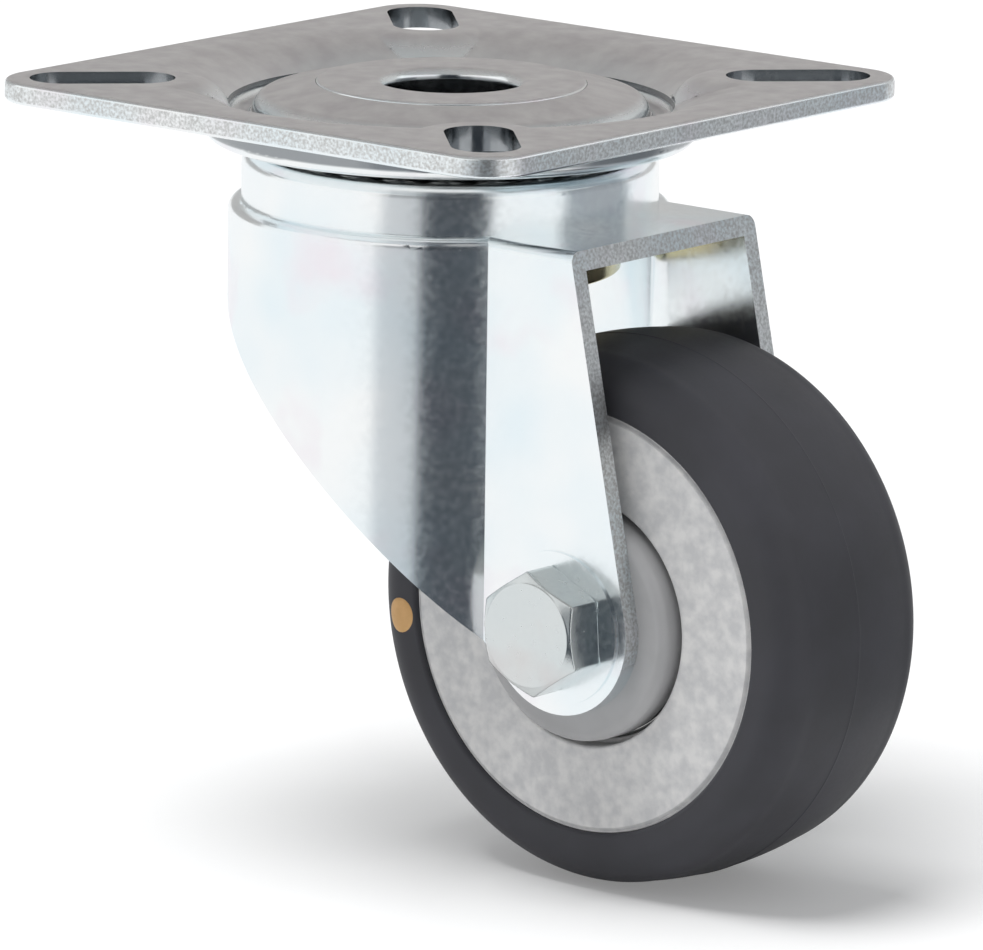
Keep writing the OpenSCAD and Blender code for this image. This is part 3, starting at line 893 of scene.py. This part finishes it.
    def nut(self) -> Object:
        """The lock nut: a crowned hexagon that runs into the round collar of its locking ring.

        Returns:
            The nut.
        """
        seat, corner = LEG_OUT + self.pad, self.corner_r
        top = seat + self.nut_h
        shoulder = top - self.collar_h
        cone_r = np.linspace(corner + 0.05, self.face_r, 12)
        cone_y = shoulder - (cone_r - self.face_r) * math.tan(math.pi / 6)
        bore = self.bolt_r + FIT_GAP
        outer = np.vstack([
            [[bore, seat], [bore + 0.3, seat], [corner - 0.3, seat], [corner - 0.1, seat + 0.06],
             [corner + 0.05, seat + 0.25], [corner + 0.1, seat + 0.6]],
            np.stack([cone_r, cone_y], -1)])
        collar_r, lip = self.flats / 2 - 0.4, self.lip_r
        bend = np.linspace(0, math.pi / 2, 8)[:, None]
        edge = np.hstack([collar_r - lip + lip * np.cos(bend), top - lip + lip * np.sin(bend)])
        pocket_r, pocket = self.flats / 2 - 1.2, top - self.lip_in
        inner = np.array([[bore + 0.3, top], [bore, top - 0.05], [bore, pocket], [pocket_r, pocket],
                          [pocket_r, pocket - self.ring_h], [bore, pocket - self.ring_h]])
        rows = np.vstack([outer, [[collar_r + 0.06, shoulder], [collar_r, shoulder + 0.1]], edge, inner])
        hexed = np.arange(len(rows)) < len(outer)
        return self.surface("forged_lock_nut", rows, hexed, self.nut_turn, True)


@dataclass
class Fork:
    """The drawn fork, one pressing from the ball cup on its crown to the ends of its legs."""

    finishes: Finishes

    def build(self) -> None:
        """Smooths the fork and dresses it."""
        piece = smooth_copy("fork", "drawn_fork", crease=40, edge_mm=0.22)
        dress(piece, "fork", "zinc_plate", self.finishes.fork_zinc, "fork")


@dataclass
class Wheel:
    """Rubber tyre, moulded core, thread guards and the two ball bearings.

    Sizes are in millimetres, and halves are distances from the wheel's middle. The dot's place is
    its distance from the axle, its angle in degrees and its radius.
    """

    finishes: Finishes
    half_w: float = 9.8
    shoulder_r: float = 3.3
    crown_drop: float = 0.6
    side_r: float = 20.6
    disc_r: float = 19.4
    core_half: float = 9.6
    disc_rim: float = 0.5
    rim_depth: float = 0.3
    ridge: float = 1.2
    ridge_half: float = 5.76
    hub_r: float = 9.15
    recess_r: float = 11.45
    bearing_r: float = 11.0
    bearing_in: float = 0.5
    bearing_out: float = 7.5
    balls: tuple[float, float, float, int] = (7.5, -4.0, 2.0, 7)
    guard_r: float = 10.8
    guard_bore: float = 4.02
    collar_r: float = 5.75
    collar_h: float = 0.4
    dot_place: Triple = (21.3, -172.5, 1.55)
    parting_at: float = -1.0
    parting_h: float = 0.06
    parting_half: float = 0.12

    def build(self) -> None:
        """Builds and dresses every piece."""
        look = self.finishes
        dress(self.tyre(), "wheel", "tyre_rubber", look.rubber, "tyre")
        dress(self.core(), "wheel", "core_plastic", look.core, "wheel_core")
        dress(self.marker_dot(), "wheel", "tyre_rubber", look.dot_paint)
        for side in ("left", "right"):
            dress(self.guard(side), "fork", "guard_plastic", look.guard, f"{side}_thread_guard")
            balls = ball_ring(f"{side}_bearing_balls_ground", *self.balls, Axis.AXLE, side == "right")
            dress(balls, f"{side}_ball_set", "ball_steel", look.steel, f"{side}_bearing_balls")
            paint(f"{side}_bearing_cage", look.nylon_cage)
            for node in ("inner_ring", "outer_ring", "bearing_shields"):
                paint(f"{side}_{node}", look.steel)
        paint("bearing_spacer", look.steel)

    def tyre(self) -> Object:
        """Revolves the tyre, with the thin raised line where its mould parts.

        The tread's radius falls with the square of the distance from the middle. It is sunk by up
        to the line's height, less towards the shoulders, so that the line stays within the wheel's
        radius. The shoulders fall away as quarter circles.

        Returns:
            The tyre.
        """
        flat = self.half_w - self.shoulder_r
        drawn, clear = 0.16, 0.2
        middle = np.linspace(-flat, flat, 25)
        line = self.parting_at + np.linspace(-drawn, drawn, 7)
        middle = np.sort(np.r_[middle[np.abs(middle - self.parting_at) > clear], line])
        bend = np.linspace(0, math.pi / 2, 14)[1:]
        shoulder = flat + self.shoulder_r * np.sin(bend)
        shoulder_y = WHEEL_R - self.crown_drop - self.shoulder_r * (1 - np.cos(bend))
        off_line = np.abs(middle - self.parting_at) / self.parting_half
        raised = self.parting_h * np.clip(1 - off_line, 0, 1)
        crown = self.crown_drop * (middle / flat) ** 2
        sunk = self.parting_h * (1 - (middle / flat) ** 2)
        tread = np.stack([WHEEL_R - crown - sunk + raised, middle], -1)
        right = np.stack([shoulder_y, shoulder], -1)
        left = right[::-1] * [1, -1]
        bond, groove = self.disc_r + FIT_GAP, self.disc_r + self.ridge + FIT_GAP
        bond_half = self.ridge_half + FIT_GAP
        inside = rounded([
            (self.side_r, self.half_w, 0), (bond, self.half_w, 0.4), (bond, bond_half, 0.1),
            (groove, bond_half, 0.1), (groove, -bond_half, 0.1), (bond, -bond_half, 0.1),
            (bond, -self.half_w, 0.4), (self.side_r, -self.half_w, 0)], closed=False)
        profile = np.vstack([left, tread, right, inside])
        return revolve("moulded_tyre", profile[::-1], Axis.AXLE, 224)

    def core(self) -> Object:
        """Revolves the core: a broad disc with a bevelled rim and a recess on each side.

        Returns:
            The core.
        """
        half, rim, low = self.core_half, self.disc_r - self.disc_rim, self.core_half - self.rim_depth
        bearing, ridge_r = self.bearing_r + FIT_GAP, self.disc_r + self.ridge
        side = [(self.hub_r, self.bearing_in, 0.1), (bearing, self.bearing_in, 0.1),
                (bearing, self.bearing_out, 0.1), (self.recess_r, self.bearing_out, 0.1),
                (self.recess_r, half, 0.3), (rim, half, 0.08), (rim + self.rim_depth, low, 0.08),
                (self.disc_r, low, 0.05), (self.disc_r, self.ridge_half, 0.1),
                (ridge_r, self.ridge_half, 0.1)]
        other = [(r, -h, bend) for r, h, bend in reversed(side)]
        return revolve("moulded_core", rounded(side + other, steps=5), Axis.AXLE, 200)

    def guard(self, side: str) -> Object:
        """Revolves a thread guard: a flat cap with a rounded rim, on a short collar.

        Args:
            side: Left or right.

        Returns:
            The guard.
        """
        seat = -self.bearing_out
        back = seat - self.collar_h
        profile = rounded([
            (self.guard_bore, -LEG_FACE, 0.05), (self.guard_bore, seat, 0.05), (self.collar_r, seat, 0.1),
            (self.collar_r, back, 0.1), (self.guard_r, back, 0.3), (self.guard_r, -LEG_FACE, 0.9)])
        return revolve(f"moulded_{side}_thread_guard", profile, Axis.AXLE, right=side == "right")

    def marker_dot(self) -> Object:
        """A dab of paint on the tyre's left side: a round patch that follows the shoulder.

        A point at radius p and turn q of the patch lies at the tyre's own height there, plus a
        film that is even in the middle and sinks below the rubber at the rim.

        Returns:
            The dot.
        """
        r, turn, size = self.dot_place
        columns, taller = 36, 1.08
        p = np.array([0.05, 0.4, 0.75, 0.92, 1.0])[:, None] * size
        film = np.array([0.05, 0.05, 0.05, 0.03, -0.03])[:, None]
        q = np.linspace(0, 2 * math.pi, columns, endpoint=False)[None, :]
        x = r * math.cos(math.radians(turn)) + p * np.cos(q)
        z = r * math.sin(math.radians(turn)) + taller * p * np.sin(q)
        start = WHEEL_R - self.crown_drop - self.shoulder_r
        fall = np.clip(np.hypot(x, z) - start, 0, self.shoulder_r)
        side = self.half_w - self.shoulder_r + np.sqrt(self.shoulder_r ** 2 - fall ** 2)
        grid = np.stack([x + TRAIL, -(side + film), z + AXLE_Z], -1)
        quads = grid_quads(len(p), columns, False)[:, ::-1]
        caps = [ring[::-1] for ring in end_caps(len(p), columns)]
        return put_mesh("marker_dot", grid.reshape(-1, 3) * MM, quads, caps)


# Studio


def seen_directly(tree: Tree, shown: float, mirrored: float) -> Socket:
    """A strength that the camera sees, another that gloss and clear materials see, and 0 for other light.

    Args:
        tree: The node tree.
        shown: Strength for the camera.
        mirrored: Strength for reflections and for what is seen through a clear material.

    Returns:
        The strength.
    """
    path = add_node(tree, "ShaderNodeLightPath").outputs
    seen = maths(tree, "MAXIMUM", path["Is Glossy Ray"], path["Is Transmission Ray"])
    seen = maths(tree, "MULTIPLY", seen, mirrored)
    return maths(tree, "MULTIPLY_ADD", path["Is Camera Ray"], shown, seen)


def toward(azimuth: float, elevation: float) -> Vector:
    """Direction from the object to a place round it.

    Args:
        azimuth: Angle round the swivel axis from -Y towards +X, in degrees.
        elevation: Angle above the floor, in degrees.

    Returns:
        A direction of length 1.
    """
    a, e = math.radians(azimuth), math.radians(elevation)
    return Vector((math.sin(a) * math.cos(e), -math.cos(a) * math.cos(e), math.sin(e)))


@dataclass(frozen=True)
class Card:
    """A card bent round the object, which only reflections see.

    Its edges stand at the azimuths start and end, in degrees. Its profile has the distance from
    the swivel axis and the height over the floor of each bend, in metres.
    """

    name: str
    start: float
    end: float
    profile: tuple[tuple[float, float], ...]
    tone: str


LOW_SWEEP = ((0.07, 0.0005), (1.2, 0.0005), (1.2, 0.5))
TALL_SWEEP = ((0.07, 0.0005), (1.2, 0.0005), (1.2, 1.1))
CARDS = (
    Card("grey_front_card", 3, 25, LOW_SWEEP, "#C4C7CA"),
    Card("dark_front_card", 25, 62, TALL_SWEEP, "#474C52"),
    Card("grey_side_card", 104, 152, LOW_SWEEP, "#9A9DA1"),
    Card("grey_back_card", 152, 285, ((1.2, 0.1), (1.2, 0.95)), "#E3E1DF"),
    Card("grey_ceiling_card", 0, 360, ((0.02, 0.96), (1.2, 0.95)), "#BEBDBC"),
)


@dataclass
class Studio:
    """Pale floor, soft light, cards for the metal to reflect and the photograph's camera.

    Places along the model are in millimetres and angles in degrees. floor_lift is the paper's
    glow for the camera and for reflections. The key lamp has an azimuth and an elevation.
    """

    floor_z: float = -70.5
    floor_half: float = 3.0
    floor_lift: tuple[float, float] = (0.22, 0.12)
    room_strength: float = 0.4
    key_place: tuple[float, float] = (322, 75)
    key_strength: float = 2.5
    key_spread: float = 32
    azimuth: float = 39.730
    elevation: float = 12.347
    roll: float = 0.725
    distance: float = 854.13
    aside: float = 4.108
    aim_z: float = -37.143
    lens: float = 339.92
    sensor: float = 36.0
    clip: tuple[float, float] = (0.05, 20.0)

    def build(self) -> None:
        """Builds the floor, the light, the cards and the camera."""
        self.floor()
        self.light()
        for card in CARDS:
            self.card(card)
        self.camera()
        bpy.context.scene.view_settings.view_transform = "Standard"

    def floor(self) -> None:
        """A plain pale floor under the wheel."""
        half = self.floor_half
        points = np.array([[-half, -half, 0], [half, -half, 0], [half, half, 0], [-half, half, 0]])
        piece = put_mesh("studio_floor", points + [0, 0, self.floor_z * MM], np.array([[0, 1, 2, 3]]))
        # Matt pale paper, lit by the lamp and the room
        material = bpy.data.materials.new("matt_pale_paper")
        material.use_nodes = True
        tree = material.node_tree
        tree.nodes.clear()
        paper = add_node(tree, "ShaderNodeBsdfDiffuse", {"Color": srgb("#E3E3E3")})
        lift = seen_directly(tree, *self.floor_lift)
        glow = add_node(tree, "ShaderNodeEmission", {"Color": srgb("#FFFFFF"), "Strength": lift})
        both = add_node(tree, "ShaderNodeAddShader", {0: paper.outputs[0], 1: glow.outputs[0]})
        add_node(tree, "ShaderNodeOutputMaterial", {"Surface": both.outputs[0]})
        piece.data.materials.append(material)

    def light(self) -> None:
        """A pale sky all round, and one large soft lamp that the metal doesn't mirror."""
        world = bpy.data.worlds.new("soft_room")
        bpy.context.scene.world = world
        world.use_nodes = True
        tree = world.node_tree
        tree.nodes.clear()
        room = add_node(tree, "ShaderNodeBackground", {
            "Color": srgb("#F8FAFC"), "Strength": self.room_strength})
        white = add_node(tree, "ShaderNodeBackground", {"Color": srgb("#FFFFFF"), "Strength": 1.0})
        mix = add_node(tree, "ShaderNodeMixShader", {
            0: seen_directly(tree, 1, 1), 1: room.outputs[0], 2: white.outputs[0]})
        add_node(tree, "ShaderNodeOutputWorld", {"Surface": mix.outputs[0]})
        lamp = bpy.data.lights.new("soft_key", "SUN")
        lamp.energy = self.key_strength
        lamp.angle = math.radians(self.key_spread)
        rig = put_object("soft_key", lamp)
        rig.rotation_euler = toward(*self.key_place).to_track_quat("Z", "Y").to_euler()
        rig.visible_glossy = False

    def card(self, card: Card) -> None:
        """Bends a card round the object, on the floor and up, where only reflections see it.

        Args:
            card: The card.
        """
        turn = np.radians(np.linspace(card.start, card.end, 25))[None, :]
        away, high = np.array(card.profile).T[:, :, None]
        grid = np.stack([away * np.sin(turn), -away * np.cos(turn), high + self.floor_z * MM + 0 * turn], -1)
        quads = grid_quads(len(card.profile), turn.size, False).reshape(-1, turn.size, 4)[:, :-1]
        piece = put_mesh(card.name, grid.reshape(-1, 3), quads.reshape(-1, 4))
        # Matt card without any sheen
        material = bpy.data.materials.new("matt_card")
        material.use_nodes = True
        shader = material.node_tree.nodes["Principled BSDF"]
        shader.inputs["Base Color"].default_value = srgb(card.tone)
        shader.inputs["Roughness"].default_value = 1.0
        shader.inputs["Specular IOR Level"].default_value = 0.0
        piece.data.materials.append(material)
        piece.visible_camera = False
        piece.visible_shadow = False
        piece.visible_diffuse = False

    def camera(self) -> None:
        """Sets the camera where the photograph was taken from, with its slight roll."""
        back = toward(self.azimuth, self.elevation)
        side = Vector((0, 0, 1)).cross(back).normalized()
        up = back.cross(side)
        roll = math.radians(self.roll)
        right = side * math.cos(roll) + up * math.sin(roll)
        top = up * math.cos(roll) - side * math.sin(roll)
        aim = side * (self.aside * MM) + Vector((0, 0, self.aim_z * MM))
        lens = bpy.data.cameras.new("photo_camera")
        lens.lens = self.lens
        lens.sensor_width = self.sensor
        lens.clip_start, lens.clip_end = self.clip
        rig = put_object("photo_camera", lens)
        turn = Matrix((right, top, back)).transposed()
        rig.matrix_world = Matrix.Translation(aim + back * (self.distance * MM)) @ turn.to_4x4()
        bpy.context.scene.camera = rig


def main() -> None:
    """Builds the castor's looks in order."""
    logging.basicConfig(level=logging.INFO, format="%(message)s", stream=sys.stdout)
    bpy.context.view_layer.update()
    finishes = Finishes()
    for part in (SwivelHead(finishes), Fork(finishes), AxleSet(finishes), Wheel(finishes)):
        part.build()
        LOG.info("%s done", type(part).__name__)
    Studio().build()


if __name__ == "__main__":
    main()
